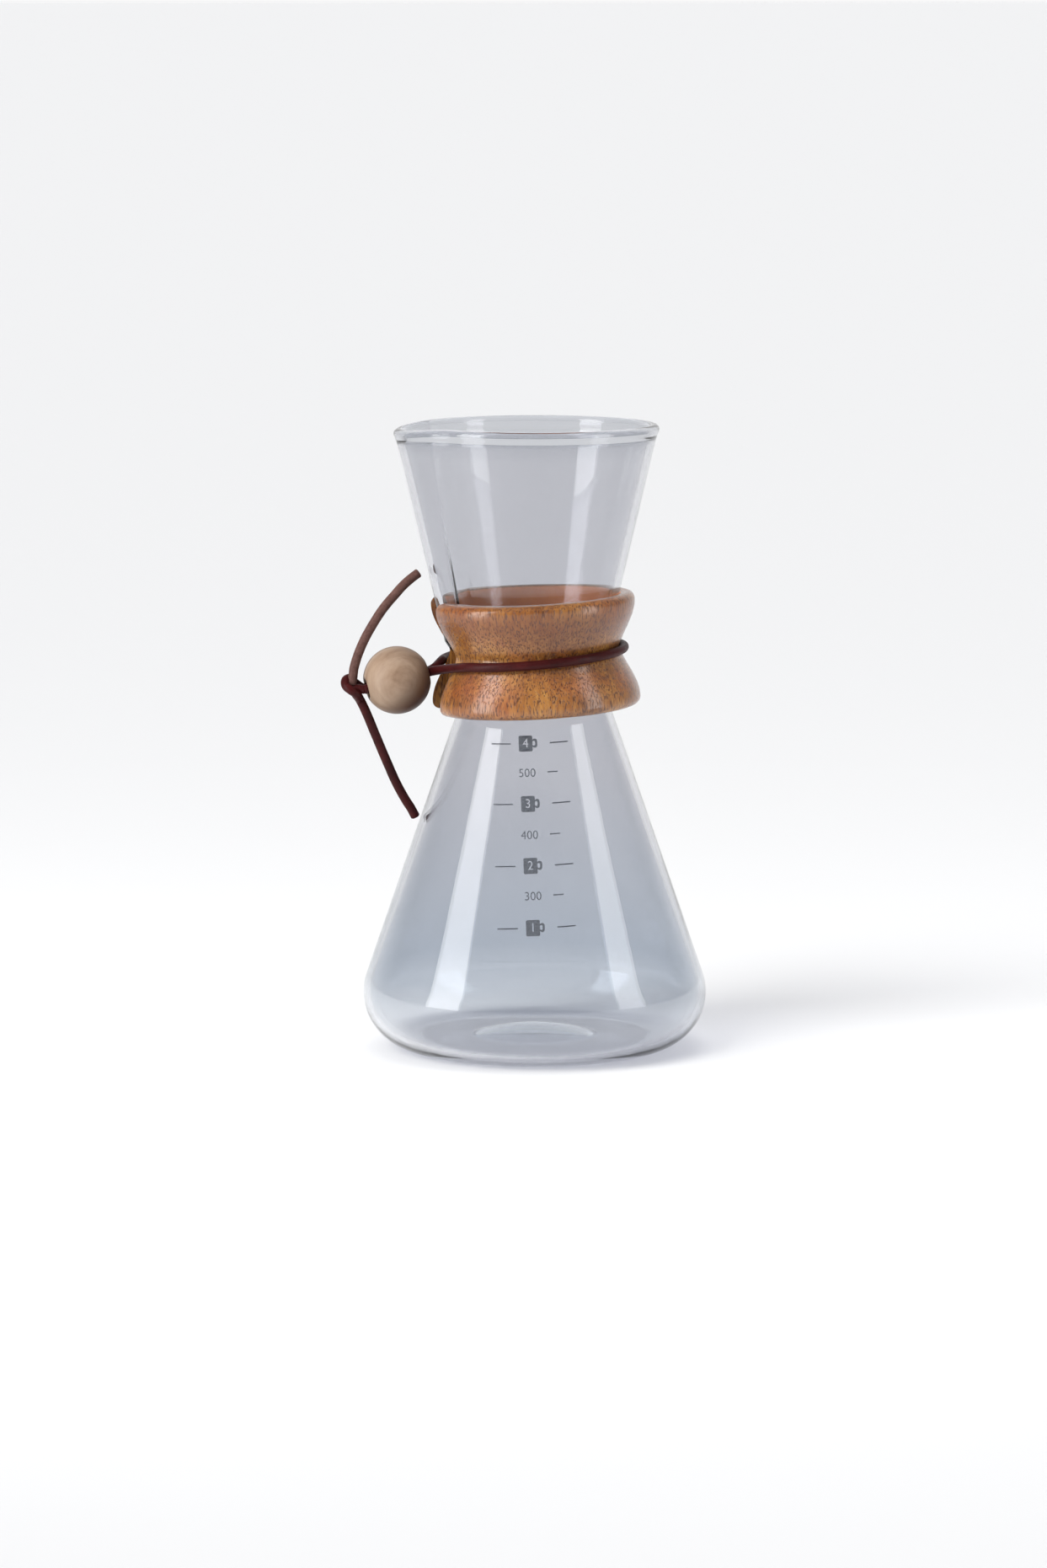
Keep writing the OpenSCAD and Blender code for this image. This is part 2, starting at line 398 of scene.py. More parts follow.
def spout_share(angle, z):
    """How much of the spout there is, from 0 to 1, at an angle from -X and a height."""
    rise = min(1.0, max(0.0, (z - SPOUT_Z) / (HEIGHT - SPOUT_Z)))
    half = SPOUT_HALF_LOW + (SPOUT_HALF - SPOUT_HALF_LOW) * rise ** SPOUT_WIDENING
    side = min(1.0, abs(angle) / half)
    drop = max(0.0, (SPOUT_Z - z) / SPOUT_FADE)
    away = min(1.0, math.hypot(side, drop))
    return (1 + math.cos(math.pi * away)) / 2


outline = glass_outline()
outer_side = side_outline(0) + [np.array([upper_radius(lip_z), lip_z])]
outer_z = np.array([p[1] for p in outer_side])
outer_r = np.array([p[0] for p in outer_side])


def glass_radius(angle, z):
    """Outside radius of the glass at an angle from -X and a height, the spout included."""
    return float(np.interp(z, outer_z, outer_r)) + SPOUT_OUT * spout_share(angle, z)


# ---------------------------------------------------------------- materials

class Shader:
    """A node material with one Principled shader, and short calls that add nodes to it."""

    def __init__(self, name):
        self.material = bpy.data.materials.new(name)
        self.material.use_nodes = True
        self.tree = self.material.node_tree
        self.principled = self.tree.nodes["Principled BSDF"]
        self.place = self.node("ShaderNodeTexCoord").outputs["Object"]

    def node(self, kind, inputs=None, **settings):
        """A new node, with values or sockets for its inputs and its settings."""
        made = self.tree.nodes.new(kind)
        for key, value in settings.items():
            setattr(made, key, value)
        for key, value in (inputs or {}).items():
            self.feed(made.inputs[key], value)
        return made

    def feed(self, socket, value):
        """Links a socket to an input, or gives the input a plain value."""
        if isinstance(value, bpy.types.NodeSocket):
            self.tree.links.new(value, socket)
        else:
            socket.default_value = value

    def set(self, **values):
        """Values of the Principled shader, such as coat_weight=1."""
        for key, value in values.items():
            label = key.replace("_", " ").title().replace("Ior", "IOR")
            self.feed(self.principled.inputs[label], value)

    def noise(self, scale, detail=3.0, roughness=0.5, distortion=0.0):
        """Noise in cells per metre: one number, or one number for each axis."""
        place = self.place
        if not isinstance(scale, (int, float)):
            place = self.node("ShaderNodeMapping", {"Vector": place, "Scale": scale}).outputs[0]
            scale = 1.0
        values = {
            "Vector": place, "Scale": scale, "Detail": detail, "Roughness": roughness,
            "Distortion": distortion,
        }
        return self.node("ShaderNodeTexNoise", values).outputs["Fac"]

    def ramp(self, value, *stops):
        """A colour ramp through (position, colour) stops; a plain number stands for a grey."""
        made = self.node("ShaderNodeValToRGB", {"Fac": value})
        elements = made.color_ramp.elements
        while len(elements) < len(stops):
            elements.new(0.5)
        for element, (position, colour) in zip(elements, stops):
            element.position = position
            grey = isinstance(colour, (int, float))
            element.color = (colour, colour, colour, 1) if grey else (*colour, 1)
        return made.outputs["Color"]

    def mix(self, share, a, b):
        """A mix of two colours, each a socket or a plain colour."""
        made = self.node("ShaderNodeMix", data_type="RGBA")
        self.feed(made.inputs["Factor"], share)
        for socket, value in ((made.inputs[6], a), (made.inputs[7], b)):
            self.feed(socket, value if isinstance(value, bpy.types.NodeSocket) else (*value, 1))
        return made.outputs[2]

    def maths(self, operation, a, b=0.0):
        """The result of a sum on numbers."""
        return self.node("ShaderNodeMath", {0: a, 1: b}, operation=operation).outputs[0]

    def vectors(self, operation, a, b, output=0):
        """The result of a sum on vectors; a dot product comes out at "Value"."""
        inputs = {0: a, 1: b}
        return self.node("ShaderNodeVectorMath", inputs, operation=operation).outputs[output]

    def height(self):
        """Height above the table."""
        return self.node("ShaderNodeSeparateXYZ", {0: self.place}).outputs["Z"]

    def bump(self, height, depth):
        """A bump of the given depth in metres."""
        inputs = {"Height": height, "Distance": depth, "Strength": 1.0}
        return self.node("ShaderNodeBump", inputs).outputs[0]


# Height of the hollow under the upper flare, where shade is painted darker into the wood, and how
# far from it the painted shade ends
COVE_Z = 139.5 * MM
COVE_REACH = 8 * MM

# Way from the bead's middle to the darkest spot of its painted shade, below and towards the collar
SHADE_WAY = Vector((0.75, 0.1, -0.65)).normalized()


def collar_wood():
    """Varnished brown wood with upright grain, red-brown patches and short dark pores.

    Shade is painted darker into the hollow of the upper flare, and its inner face is raw wood,
    painted lighter as if lit through the glass.
    """
    s = Shader("collar_wood")
    patches = s.noise((90, 90, 40), detail=3, distortion=0.3)
    streaks = s.noise((800, 800, 60), detail=4, roughness=0.6, distortion=0.4)
    fine = s.noise((2300, 2300, 330), detail=2)
    redness = s.noise((55, 55, 80), detail=2)
    broad = s.ramp(patches, (0.3, 0.0), (0.7, 1.0))
    narrow = s.ramp(streaks, (0.3, 0.0), (0.7, 1.0))
    colour = s.ramp(
        s.mix(0.5, broad, narrow),
        (0.0, (0.110, 0.034, 0.008)),
        (0.4, (0.250, 0.092, 0.020)),
        (0.7, (0.365, 0.158, 0.036)),
        (1.0, (0.470, 0.250, 0.065)),
    )
    red = s.maths("MULTIPLY", s.ramp(redness, (0.5, 0.0), (0.7, 1.0)), 0.35)
    colour = s.mix(red, colour, (0.300, 0.075, 0.030))
    # Painted shade: the wood is darker in the hollow under the upper flare
    off_cove = s.maths("ABSOLUTE", s.maths("SUBTRACT", s.height(), COVE_Z))
    cove_shade = s.ramp(s.maths("DIVIDE", off_cove, COVE_REACH), (0.2, 0.65), (1.0, 0.0))
    colour = s.mix(cove_shade, colour, (0.150, 0.036, 0.004))
    pores = s.ramp(fine, (0.39, 1.0), (0.46, 0.0))
    colour = s.mix(s.maths("MULTIPLY", pores, 0.8), colour, (0.060, 0.018, 0.007))
    # On the inner face the normal points at the axis, and outward is about minus the radius
    normal = s.node("ShaderNodeNewGeometry").outputs["Normal"]
    from_axis = s.vectors("MULTIPLY", s.place, (1, 1, 0))
    outward = s.vectors("DOT_PRODUCT", normal, from_axis, "Value")
    # The inner face is raw wood, and its colour is painted lighter and redder, as painted light
    # falling through the glass
    raw_and_lit = s.mix(streaks, (0.800, 0.270, 0.110), (0.950, 0.400, 0.170))
    colour = s.mix(s.maths("LESS_THAN", outward, -0.02), colour, raw_and_lit)
    s.set(
        base_color=colour,
        roughness=s.ramp(streaks, (0.3, 0.34), (0.7, 0.50)),
        coat_weight=1.0,
        coat_roughness=0.22,
        coat_ior=1.6,
        specular_ior_level=0.1,
        normal=s.bump(s.mix(0.4, pores, streaks), -0.10 * MM),
    )
    s.feed(s.principled.inputs["Coat Normal"], s.bump(s.mix(0.5, pores, patches), -0.16 * MM))
    return s.material


def bead_wood():
    """Pale, greyish sanded wood with faint rings, and painted shade below and towards the collar.
    """
    s = Shader("bead_wood")
    bands = s.noise((70, 260, 70), detail=3, distortion=0.6)
    fine = s.noise((500, 1700, 500), detail=3, roughness=0.6)
    colour = s.ramp(
        s.mix(0.4, s.ramp(bands, (0.3, 0.0), (0.7, 1.0)), fine),
        (0.1, (0.190, 0.118, 0.076)),
        (0.5, (0.280, 0.192, 0.132)),
        (0.9, (0.345, 0.252, 0.180)),
    )
    # Painted shade: the bead darkens below and on its side towards the collar, which shades it
    from_middle = s.vectors("SUBTRACT", s.place, BEAD_C)
    bead_shade = s.vectors("DOT_PRODUCT", from_middle, SHADE_WAY / BEAD_R, "Value")
    bead_shade = s.maths("ADD", bead_shade, s.maths("MULTIPLY", bands, 0.3))
    colour = s.mix(s.ramp(bead_shade, (0.1, 0.0), (0.8, 0.95)), colour, (0.060, 0.020, 0.008))
    s.set(
        base_color=colour,
        roughness=s.ramp(fine, (0.3, 0.42), (0.7, 0.56)),
        specular_ior_level=0.15,
        coat_weight=0.2,
        coat_roughness=0.32,
        normal=s.bump(fine, 0.03 * MM),
    )
    return s.material


def leather(name, dark, light):
    """Round leather lace: fine creases and a dull shine."""
    s = Shader(name)
    blotches = s.noise(140, detail=4, roughness=0.6)
    creases = s.noise(1500, detail=4, roughness=0.65, distortion=0.8)
    tone = s.mix(0.4, blotches, creases)
    s.set(
        base_color=s.ramp(tone, (0.3, dark), (0.7, light)),
        roughness=s.ramp(creases, (0.3, 0.38), (0.7, 0.60)),
        specular_ior_level=0.1,
        coat_weight=0.1,
        coat_roughness=0.25,
        normal=s.bump(creases, 0.09 * MM),
    )
    return s.material


# Tints of the glass from the table up to the rim; the deeper one low on the glass is painted shade,
# for the darker table seen through it
BASE_TINT = (0.900, 0.912, 0.930)
FOOT_TINT_AND_SHADE = (0.640, 0.678, 0.728)
GLASS_TINT = (0.735, 0.740, 0.770)
RIM_TINT = (0.640, 0.655, 0.690)


def clear_glass():
    """Blown glass: a faint grey tint, deeper at the rim, painted shade that deepens it at the foot,
    ripples and a little haze.

    It lets the light of the lamps through, tinted, so that its shadow is soft.
    """
    s = Shader("blown_glass")
    ripples = s.noise((28, 28, 14), detail=2, roughness=0.4)
    film = s.noise((90, 90, 40), detail=4, roughness=0.6)
    # The tint deepens at the foot as painted shade
    tint = s.ramp(
        s.maths("DIVIDE", s.height(), HEIGHT),
        (0.02, BASE_TINT),
        (0.13, FOOT_TINT_AND_SHADE),
        (0.45, GLASS_TINT),
        (0.95, GLASS_TINT),
        (0.985, RIM_TINT),
    )
    s.set(
        base_color=tint,
        transmission_weight=1.0,
        ior=1.47,
        roughness=s.ramp(film, (0.35, 0.0), (0.75, 0.035)),
        normal=s.bump(ripples, 0.22 * MM),
    )
    nodes = s.tree.nodes
    path = nodes.new("ShaderNodeLightPath")
    clear = nodes.new("ShaderNodeBsdfTransparent")
    clear.inputs["Color"].default_value = (*GLASS_TINT, 1)
    either = nodes.new("ShaderNodeMixShader")
    s.tree.links.new(path.outputs["Is Shadow Ray"], either.inputs["Fac"])
    s.tree.links.new(s.principled.outputs[0], either.inputs[1])
    s.tree.links.new(clear.outputs[0], either.inputs[2])
    s.tree.links.new(either.outputs[0], nodes["Material Output"].inputs["Surface"])
    return s.material


def print_ink():
    """Fired grey enamel, a little worn."""
    s = Shader("print_ink")
    wear = s.noise(2600, detail=3, roughness=0.6)
    s.set(
        base_color=s.ramp(wear, (0.35, (0.055, 0.060, 0.070)), (0.7, (0.115, 0.125, 0.145))),
        roughness=s.ramp(wear, (0.3, 0.45), (0.7, 0.65)),
        normal=s.bump(wear, 0.02 * MM),
    )
    return s.material


def pale_floor():
    """A plain pale floor."""
    s = Shader("pale_floor")
    s.set(base_color=(0.80, 0.80, 0.80, 1), roughness=0.75, specular_ior_level=0.2)
    return s.material


WOOD = collar_wood()
BEAD_WOOD = bead_wood()
LACE = leather("thong_leather", (0.016, 0.002, 0.002), (0.062, 0.008, 0.008))
# A lighter, greyer copy of the same leather, with painted light for the lit side and sheen of the
# upper free end
LACE_LIT = leather("thong_leather_lit", (0.045, 0.018, 0.015), (0.160, 0.085, 0.070))
GLASS = clear_glass()
INK = print_ink()
# The upper end gets the copy with painted light, the lower end the plain lace
for tail, lace in zip(tails, (LACE_LIT, LACE)):
    tail.data.materials.append(lace)


# ---------------------------------------------------------------- glass

# Points round the glass, and how much closer together they lie round the spout
GLASS_TURNS = 216
SPOUT_CROWDING = 0.6


def make_glass():
    """The blown body: the outline turned round the axis, with the spout pressed out of it."""
    turns = [2 * math.pi * k / GLASS_TURNS for k in range(GLASS_TURNS)]
    angles = [turn - SPOUT_CROWDING * math.sin(turn) for turn in turns]
    verts = []
    for r, z in outline[1:-1]:
        for angle in angles:
            turn = (angle + math.pi) % (2 * math.pi) - math.pi
            share = spout_share(turn, z)
            near_top = max(0.0, min(1.0, 1 - (lip_z - z) / SPOUT_DIP_REACH))
            out = r + SPOUT_OUT * share
            drop = SPOUT_DIP * share * near_top * near_top * (3 - 2 * near_top)
            verts.append((-out * math.cos(angle), -out * math.sin(angle), z - drop))
    rows = len(outline) - 2
    faces = grid_faces(rows, GLASS_TURNS)
    for row, (_, z) in ((0, outline[0]), (rows - 1, outline[-1])):
        pole = len(verts)
        verts.append((0, 0, z))
        ring = range(row * GLASS_TURNS, (row + 1) * GLASS_TURNS)
        faces += [(pole, ring[k], ring[(k + 1) % GLASS_TURNS]) for k in range(GLASS_TURNS)]
    glass = new_piece("glass_body", verts, faces, "carafe", GLASS)
    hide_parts("glass_carafe")


make_glass()


# ---------------------------------------------------------------- collar

# Steps of a half: along it, up its outside, round its edges and up its inside
COLLAR_STEPS = 90
COLLAR_SIDE_STEPS = 40
COLLAR_EDGE_STEPS = 8
COLLAR_INSIDE_STEPS = 23
# Width of the worn edges at the halves' ends
END_EDGE = 0.4 * MM


def collar_radius(z):
    """Outside radius of the collar at height z: half a soft groove and half a sharp one."""
    up = z > WAIST_Z
    span = COLLAR_TOP - COLLAR_EDGE - WAIST_Z if up else WAIST_Z - COLLAR_Z - COLLAR_EDGE
    t = min(1.0, abs(z - WAIST_Z) / span)
    soft = (1 - math.cos(math.pi * t)) / 2
    return WAIST_R + (FLARE_TOP if up else FLARE_LOW) * (soft + math.sin(math.pi / 2 * t)) / 2


def collar_outer():
    """The collar's outline from its lower face round the outside to its upper face."""
    low = np.array([collar_radius(COLLAR_Z) - COLLAR_EDGE, COLLAR_Z + COLLAR_EDGE])
    high = np.array([collar_radius(COLLAR_TOP) - COLLAR_EDGE, COLLAR_TOP - COLLAR_EDGE])
    heights = np.linspace(low[1], high[1], COLLAR_SIDE_STEPS + 1)[1:-1]
    side = [np.array([collar_radius(z), z]) for z in heights]
    quarter = math.pi / 2
    low_edge = arc(low, COLLAR_EDGE, -quarter, 0, COLLAR_EDGE_STEPS)
    high_edge = arc(high, COLLAR_EDGE, 0, quarter, COLLAR_EDGE_STEPS)
    return low_edge + side + high_edge


def collar_inside():
    """Heights down the collar's inside, each with its distance from the fit to the glass."""
    small = 0.3 * INNER_EDGE
    high = COLLAR_TOP - INNER_EDGE
    low = COLLAR_Z + INNER_EDGE
    side = [(z, 0.0) for z in np.linspace(high, low, COLLAR_INSIDE_STEPS + 1)]
    top = [(COLLAR_TOP, INNER_EDGE), (COLLAR_TOP - small, small)]
    return top + side + [(COLLAR_Z + small, small), (COLLAR_Z, INNER_EDGE)]


def make_collar(name, side, roll, lift):
    """Half of the collar, on the side -1 for the front and 1 for the back.

    It is rolled about the waist, lifted, and hollowed to the glass.
    """
    # Each point: its radius, its height and, on the inside, its distance from the fit to the glass
    section = [(r, z, None) for r, z in collar_outer()]
    section += [(glass_radius(math.pi, z), z, off) for z, off in collar_inside()]

    def place(share, radius, z, hollow):
        """Where a point of the section lies, at a share of the way round the half."""
        start = math.asin(GAP_SPOUT / radius)
        end = math.pi - math.asin(GAP_FAR / radius)
        angle = start + (end - start) * share
        x, y = -radius * math.cos(angle), side * radius * math.sin(angle)
        up = z - WAIST_Z
        z = WAIST_Z + lift + up * math.cos(roll) + x * math.sin(roll)
        x = x * math.cos(roll) - up * math.sin(roll)
        if hollow is not None:
            wanted = glass_radius(math.atan2(y, -x), z) + FIT_GAP + hollow
            x, y = x * wanted / math.hypot(x, y), y * wanted / math.hypot(x, y)
        return (x, y, z)

    shares = [i / COLLAR_STEPS for i in range(COLLAR_STEPS + 1)]
    verts = [place(share, *point) for share in shares for point in section]
    columns = len(section)
    faces = grid_faces(len(shares), columns)
    faces.append(tuple(range(columns - 1, -1, -1)))
    faces.append(tuple(range(len(verts) - columns, len(verts))))
    half = new_piece(name + "_wood", verts, faces, "carafe", WOOD)
    bevel = half.modifiers.new("worn_edges", "BEVEL")
    bevel.width = END_EDGE
    bevel.segments = 3
    bevel.limit_method = "ANGLE"
    bevel.angle_limit = math.radians(50)
    bevel.harden_normals = True
    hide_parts(name)


make_collar("collar_front", -1, FRONT_ROLL, 0.0)
make_collar("collar_back", 1, BACK_ROLL, BACK_LIFT)


# ---------------------------------------------------------------- bead

# Radius of the rounded mouths of the bead's bore
MOUTH_R = 0.7 * MM

# Steps of the bead: round it, over it from mouth to mouth, round a mouth and along the bore
BEAD_TURNS = 96
BALL_STEPS = 60
MOUTH_STEPS = 8
BORE_STEPS = 8


def make_bead():
    """A turned bead with a rounded mouth at each end of its bore."""
    reach = math.sqrt((BEAD_R - MOUTH_R) ** 2 - (BORE_R + MOUTH_R) ** 2)
    lean = math.atan2(BORE_R + MOUTH_R, reach)
    sphere = [
        BEAD_R * np.array([math.sin(a), math.cos(a)])
        for a in np.linspace(lean, math.pi - lean, BALL_STEPS + 1)
    ]
    top = [
        np.array([BORE_R + MOUTH_R, reach]) + MOUTH_R * np.array([math.sin(a), math.cos(a)])
        for a in np.linspace(-math.pi / 2, lean, MOUTH_STEPS + 1)[:-1]
    ]
    bottom = [np.array([r, -t]) for r, t in reversed(top)]
    bore = [np.array([BORE_R, t]) for t in np.linspace(-reach, reach, BORE_STEPS + 1)[1:-1]]
    loop = top + sphere + bottom + bore
    across = BORE_DIR.cross(UP).normalized()
    over = BORE_DIR.cross(across)
    verts = []
    for k in range(BEAD_TURNS):
        angle = 2 * math.pi * k / BEAD_TURNS
        out = across * math.cos(angle) + over * math.sin(angle)
        verts += [BEAD_C + out * float(r) + BORE_DIR * float(t) for r, t in loop]
    faces = grid_faces(BEAD_TURNS, len(loop))
    last = (BEAD_TURNS - 1) * len(loop)
    for j in range(len(loop)):
        after = (j + 1) % len(loop)
        faces.append((last + j, last + after, after, j))
    bead = new_piece("bead_turned", verts, faces, "bead", BEAD_WOOD)
    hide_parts("bead")


make_bead()


# ---------------------------------------------------------------- thong

# How far each of the two strands in the bead lies from the bore's axis, and where the strands
# leave the bead on the collar's side and on the knot's side
STRAND_Y = THONG_R + 0.05 * MM
HOLE_IN = BEAD_C + BORE_DIR * (BEAD_R + 0.6 * MM)
HOLE_OUT = BEAD_C - BORE_DIR * (BEAD_R + 0.2 * MM)

# The wrap round the collar: its height at the axis, its rise along X, and its ends in degrees
WRAP_Z = 127.9 * MM
WRAP_RISE = 0.086
WRAP_START = 34
WRAP_END = 346
WRAP_STEPS = 48

# Radius of the pulled lace in the knot, and the distance between its rings of points
KNOT_LACE_R = 1.42 * MM
KNOT_STEP = 0.5 * MM


def wrap_point(degrees):
    """A point of the wrap, at an angle counted from the bead round by the front."""
    a = math.radians(degrees)
    x = -(WAIST_R + THONG_R) * math.cos(a)
    z = WRAP_Z + WRAP_RISE * x
    if math.sin(a) > 0:
        collar_z = z - math.tan(FRONT_ROLL) * x
    else:
        collar_z = z - BACK_LIFT - math.tan(BACK_ROLL) * x
    r = collar_radius(collar_z) + THONG_R + THONG_GAP
    return Vector((-r * math.cos(a), -r * math.sin(a), z))


def make_wrap():
    """The lace out of the bead, round the collar and back into the bead."""
    side = Vector((0, STRAND_Y, 0))
    route = [HOLE_OUT - side, BEAD_C - side, HOLE_IN - side]
    for i in range(WRAP_STEPS + 1):
        route.append(wrap_point(WRAP_START + (WRAP_END - WRAP_START) * i / WRAP_STEPS))
    route += [HOLE_IN + side, BEAD_C + side, HOLE_OUT + side]
    verts, faces = sweep(resample(route, LACE_STEP), THONG_R)
    wrap = new_piece("thong_round_collar", verts, faces, "carafe", LACE)
    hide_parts("thong_wrap")


def make_knot():
    """One end turns up behind, and the other loops round it and comes down across the front."""
    side = Vector((0, STRAND_Y, 0))
    up_end_mm = [
        (-57.9, -0.7, 118.0), (-59.4, 0.0, 118.3), (-59.7, 0.1, 119.9), (-59.3, 0.0, 121.8),
    ]
    down_end_mm = [
        (-57.9, 2.6, 119.3), (-59.9, 2.3, 121.0), (-61.6, 0.6, 120.6), (-61.8, -1.1, 119.0),
        (-60.4, -2.5, 117.7), (-58.7, -2.2, 116.6), (-57.6, -1.2, 115.3), (-57.0, -0.2, 114.2),
    ]
    strands = ((HOLE_OUT - side, up_end_mm, 20.0), (HOLE_OUT + side, down_end_mm, 21.0))
    verts, faces = [], []
    for start, points_mm, seed in strands:
        route = [start] + [Vector(p) * MM for p in points_mm]
        more, quads = sweep(resample(route, KNOT_STEP), KNOT_LACE_R, seed=seed)
        faces += [tuple(i + len(verts) for i in quad) for quad in quads]
        verts += more
    knot = new_piece("thong_overhand_knot", verts, faces, "carafe", LACE)
    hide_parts("thong_knot")


make_wrap()
make_knot()


# ---------------------------------------------------------------- the printed scale

# How far the print lies outside the glass, and how far it is tilted
PRINT_LIFT = 0.06 * MM
PRINT_TILT = math.radians(2.4)
# Sizes of the marks
LINE_H = 0.38 * MM
LINE_STEPS = 8
MUG_W = 4.4 * MM
MUG_H = 4.9 * MM
MUG_DIGIT_H = 2.7 * MM
NUMBER_H = 2.6 * MM
# Height of a digit as a share of the font's size
DIGIT_SHARE = 0.7
ROUND_STEPS = 5


def flat_curve(name):
    """An empty filled curve in the XY plane, to draw print in."""
    curve = bpy.data.curves.new(name, "CURVE")
    curve.dimensions = "2D"
    curve.fill_mode = "BOTH"
    curve.resolution_u = 6
    return curve


def add_loop(curve, points):
    """Adds a closed outline to a curve."""
    spline = curve.splines.new("POLY")
    spline.points.add(len(points) - 1)
    for point, (x, y) in zip(spline.points, points):
        point.co = (x, y, 0, 1)
    spline.use_cyclic_u = True


def rounded_box(x0, y0, x1, y1, r):
    """Points of a rectangle with rounded corners."""
    corners = (
        (x1 - r, y0 + r, -90),
        (x1 - r, y1 - r, 0),
        (x0 + r, y1 - r, 90),
        (x0 + r, y0 + r, 180),
    )
    points = []
    for cx, cy, start in corners:
        for i in range(ROUND_STEPS + 1):
            a = math.radians(start + 90 * i / ROUND_STEPS)
            points.append((cx + r * math.cos(a), cy + r * math.sin(a)))
    return points


def curve_mesh(curve):
    """The flat mesh of a curve or a text, as vertices and faces."""
    holder = bpy.data.objects.new("print_holder", curve)
    bpy.context.scene.collection.objects.link(holder)
    bpy.context.view_layer.update()
    graph = bpy.context.evaluated_depsgraph_get()
    mesh = bpy.data.meshes.new_from_object(holder.evaluated_get(graph))
    verts = [v.co.copy() for v in mesh.vertices]
    faces = [tuple(p.vertices) for p in mesh.polygons]
    bpy.data.objects.remove(holder)
    bpy.data.meshes.remove(mesh)
    return verts, faces


def digits(text, height):
    """Filled outlines of digits of the given height, centred on the origin."""
    font = bpy.data.curves.new("digits", "FONT")
    font.body = text
    font.align_x = "CENTER"
    font.align_y = "CENTER"
    font.size = height / DIGIT_SHARE
    font.resolution_u = 4
    return curve_mesh(font)


def loops(shape):
    """The closed outlines of a flat mesh, as lists of points."""
    verts, faces = shape
    # An edge that two faces share is met once each way, and isn't part of an outline
    edges = {}
    for face in faces:
        for a, b in zip(face, face[1:] + face[:1]):
            if (b, a) in edges:
                del edges[(b, a)]
            else:
                edges[(a, b)] = True
    after = dict(edges.keys())
    found = []
    while after:
        first, at = after.popitem()
        loop = [first]
        while at != first:
            loop.append(at)
            at = after.pop(at)
        found.append([(verts[i].x, verts[i].y) for i in loop])
    return found


def mug(number):
    """A plain mug with its number left clear of ink, and its handle on the right."""
    w = MUG_W / 2
    h = MUG_H / 2
    curve = flat_curve("mug")
    add_loop(curve, rounded_box(-w, -h, w, h, 0.5 * MM))
    for loop in loops(digits(str(number), MUG_DIGIT_H)):
        add_loop(curve, loop)
    body = curve_mesh(curve)
    # The handle's outer and inner outline
    curve = flat_curve("handle")
    add_loop(curve, rounded_box(w - 0.1 * MM, -0.55 * h, w + 1.5 * MM, 0.6 * h, 0.8 * MM))
    add_loop(curve, rounded_box(w - 0.05 * MM, -0.27 * h, w + 0.85 * MM, 0.32 * h, 0.45 * MM))
    return body, curve_mesh(curve)


def bar(length):
    """A level line, bent round the glass in short steps."""
    curve = flat_curve("bar")
    low = [(length * (i / LINE_STEPS - 0.5), -LINE_H / 2) for i in range(LINE_STEPS + 1)]
    add_loop(curve, low + [(x, LINE_H / 2) for x, _ in reversed(low)])
    return curve_mesh(curve)


def on_glass(along, z):
    """A point of the print, at a length along the glass from the side towards the camera."""
    radius = glass_radius(math.pi / 2, z)
    back, right = to_camera()
    turn = along / radius
    way = back * math.cos(turn) + right * math.sin(turn)
    return way * (radius + PRINT_LIFT) + UP * z


# The marks from the top down: what they say, and where they lie in millimetres across and up
MUGS_MM = [(4, -2.4, 102.2), (3, -1.6, 83.7), (2, -0.8, 64.8), (1, 0.0, 45.9)]
NUMBERS_MM = [("500", -2.4, 93.1), ("400", -1.6, 74.1), ("300", -0.5, 55.5)]


def make_print():
    """The scale: mugs with a line on each side, and numbers with a short line on the right."""
    verts, faces = [], []

    def stamp(shape, across_mm, height_mm):
        """Lays a flat shape on the glass, centred at a place of the print."""
        start = len(verts)
        across = across_mm * MM
        height = height_mm * MM
        for p in shape[0]:
            x = across + p.x * math.cos(PRINT_TILT) - p.y * math.sin(PRINT_TILT)
            y = height + p.y * math.cos(PRINT_TILT) + p.x * math.sin(PRINT_TILT)
            verts.append(on_glass(x, y))
        faces.extend(tuple(i + start for i in face) for face in shape[1])

    for number, across, height in MUGS_MM:
        body, handle = mug(number)
        stamp(body, across - 0.5, height)
        stamp(handle, across - 0.5, height)
        stamp(bar(6.6 * MM), across - 8.6, height - 0.35)
        stamp(bar(6.0 * MM), across + 10.2, height + 0.4)
    for text, across, height in NUMBERS_MM:
        stamp(digits(text, NUMBER_H), across, height)
        stamp(bar(3.3 * MM), across + 8.1, height + 0.5)
    new_piece("scale_print", verts, faces, "carafe", INK, smooth=False)


make_print()


# ---------------------------------------------------------------- stage and light

# Half the width of the floor
FLOOR_HALF = 60.0

# Distance of the soft lights, which doesn't change them, and height of the strips' lower ends
SUN_DISTANCE = 3.0
STRIP_BASE = 0.015

# Colours of the room behind the camera and of the backdrop behind the carafe
ROOM_COLOUR = (0.22, 0.225, 0.24, 1)
BACKDROP_COLOUR = (0.93, 0.93, 0.935, 1)


def make_floor():
    """The pale floor under the carafe."""
    half = FLOOR_HALF
    mesh = bpy.data.meshes.new("floor")
    corners = [(-half, -half, 0), (half, -half, 0), (half, half, 0), (-half, half, 0)]
    mesh.from_pydata(corners, [], [(0, 1, 2, 3)])
    mesh.materials.append(pale_floor())
    floor = bpy.data.objects.new("floor", mesh)
    bpy.context.scene.collection.objects.link(floor)


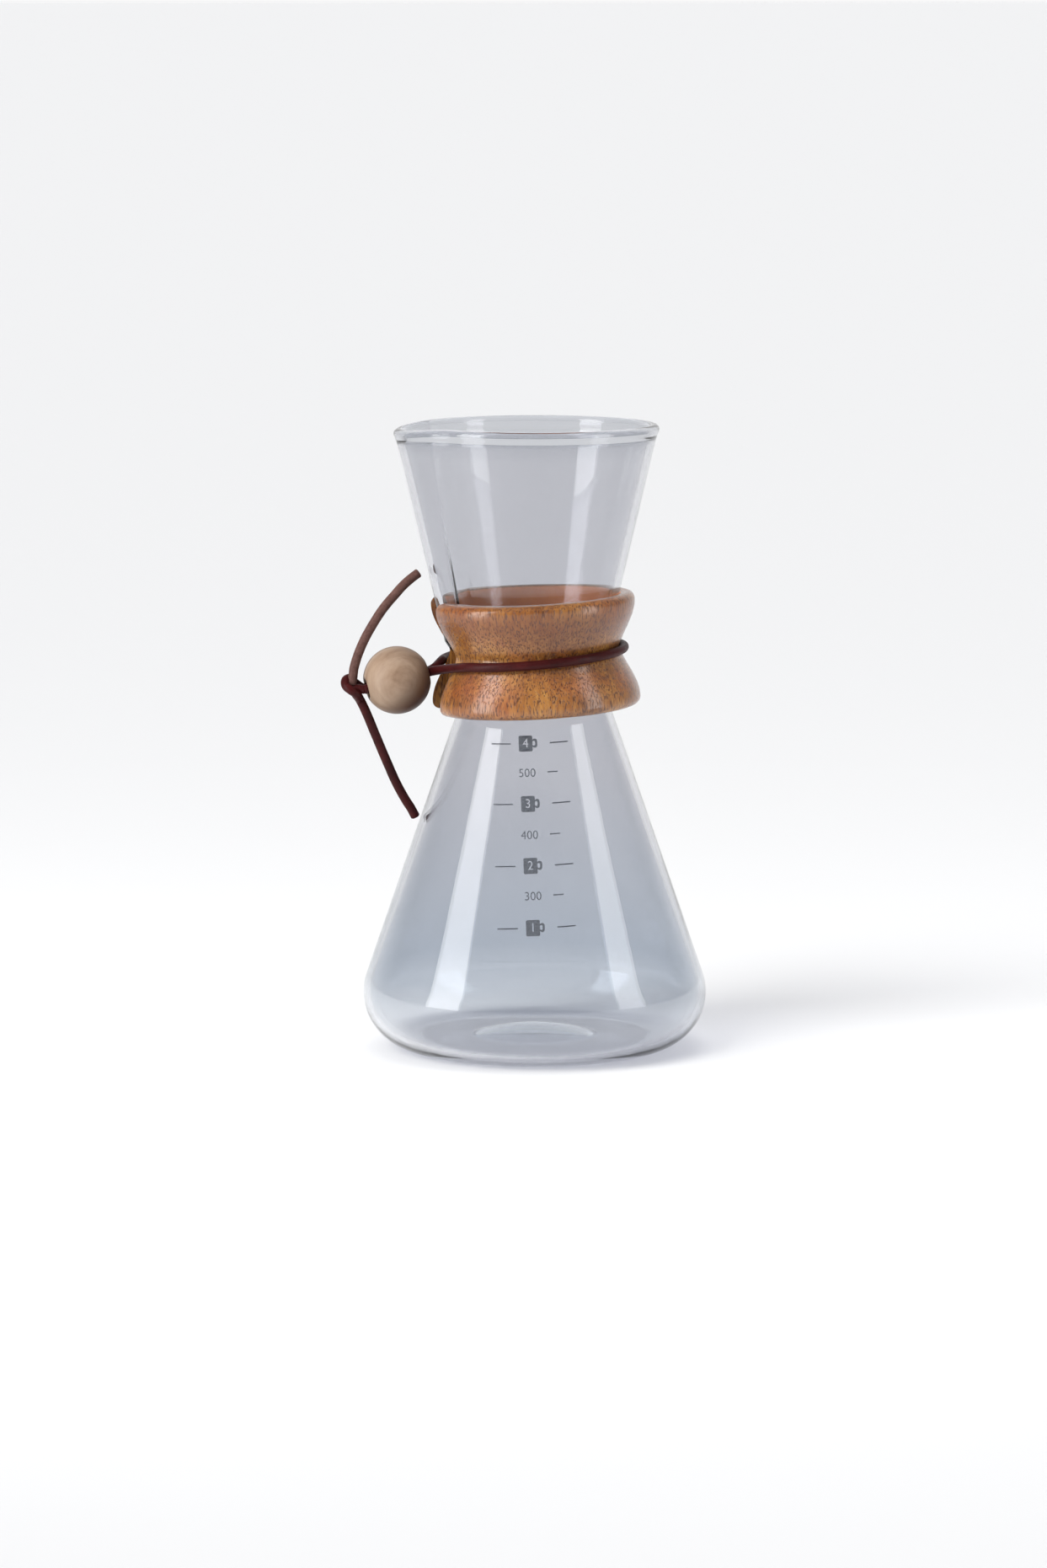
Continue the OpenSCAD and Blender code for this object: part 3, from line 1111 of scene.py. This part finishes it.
def lamp_towards(name, kind, turn, elevation, distance):
    """A light that faces the carafe, at angles to the right of the camera and above the table."""
    back, right = to_camera()
    t, e = math.radians(turn), math.radians(elevation)
    way = (back * math.cos(t) + right * math.sin(t)) * math.cos(e) + UP * math.sin(e)
    lamp = bpy.data.objects.new(name, bpy.data.lights.new(name, kind))
    bpy.context.scene.collection.objects.link(lamp)
    lamp.location = UP * HEIGHT / 2 + way * distance
    lamp.rotation_euler = (-way).to_track_quat("-Z", "Y").to_euler()
    return lamp


def strip(name, turn, distance, width, top, radiance):
    """A tall narrow softbox that stands just above the table."""
    height = top - STRIP_BASE
    lamp = lamp_towards(name, "AREA", turn, 0, distance)
    lamp.location.z = STRIP_BASE + height / 2
    lamp.data.shape = "RECTANGLE"
    lamp.data.size = width
    lamp.data.size_y = height
    lamp.data.energy = radiance * math.pi * width * height


def soft_sun(name, turn, elevation, strength, spread):
    """A wide soft light that isn't seen in the glass or the varnish."""
    lamp = lamp_towards(name, "SUN", turn, elevation, SUN_DISTANCE)
    lamp.data.angle = math.radians(spread)
    lamp.data.energy = strength
    lamp.visible_glossy = False
    lamp.visible_transmission = False


def make_world():
    """A dim studio with a pale backdrop behind the carafe."""
    world = bpy.data.worlds.new("studio")
    bpy.context.scene.world = world
    world.use_nodes = True
    tree = world.node_tree
    place = tree.nodes.new("ShaderNodeTexCoord")
    facing = tree.nodes.new("ShaderNodeVectorMath")
    facing.operation = "DOT_PRODUCT"
    facing.inputs[1].default_value = -to_camera()[0]
    ramp = tree.nodes.new("ShaderNodeValToRGB")
    tree.links.new(place.outputs["Generated"], facing.inputs[0])
    tree.links.new(facing.outputs["Value"], ramp.inputs["Fac"])
    tree.links.new(ramp.outputs["Color"], tree.nodes["Background"].inputs["Color"])
    ramp.color_ramp.interpolation = "EASE"
    ramp.color_ramp.elements[0].position = 0.45
    ramp.color_ramp.elements[0].color = ROOM_COLOUR
    ramp.color_ramp.elements[1].position = 0.9
    ramp.color_ramp.elements[1].color = BACKDROP_COLOUR
    tree.nodes["Background"].inputs["Strength"].default_value = 1.0


make_floor()
make_world()
soft_sun("key", turn=-42, elevation=42, strength=2.2, spread=30)
soft_sun("overhead", turn=0, elevation=84, strength=1.15, spread=40)
strip("strip_left", turn=-62, distance=0.55, width=0.24, top=0.62, radiance=4.9)
strip("strip_right", turn=66, distance=0.55, width=0.19, top=0.62, radiance=3.2)
bpy.context.scene.view_settings.view_transform = "Standard"
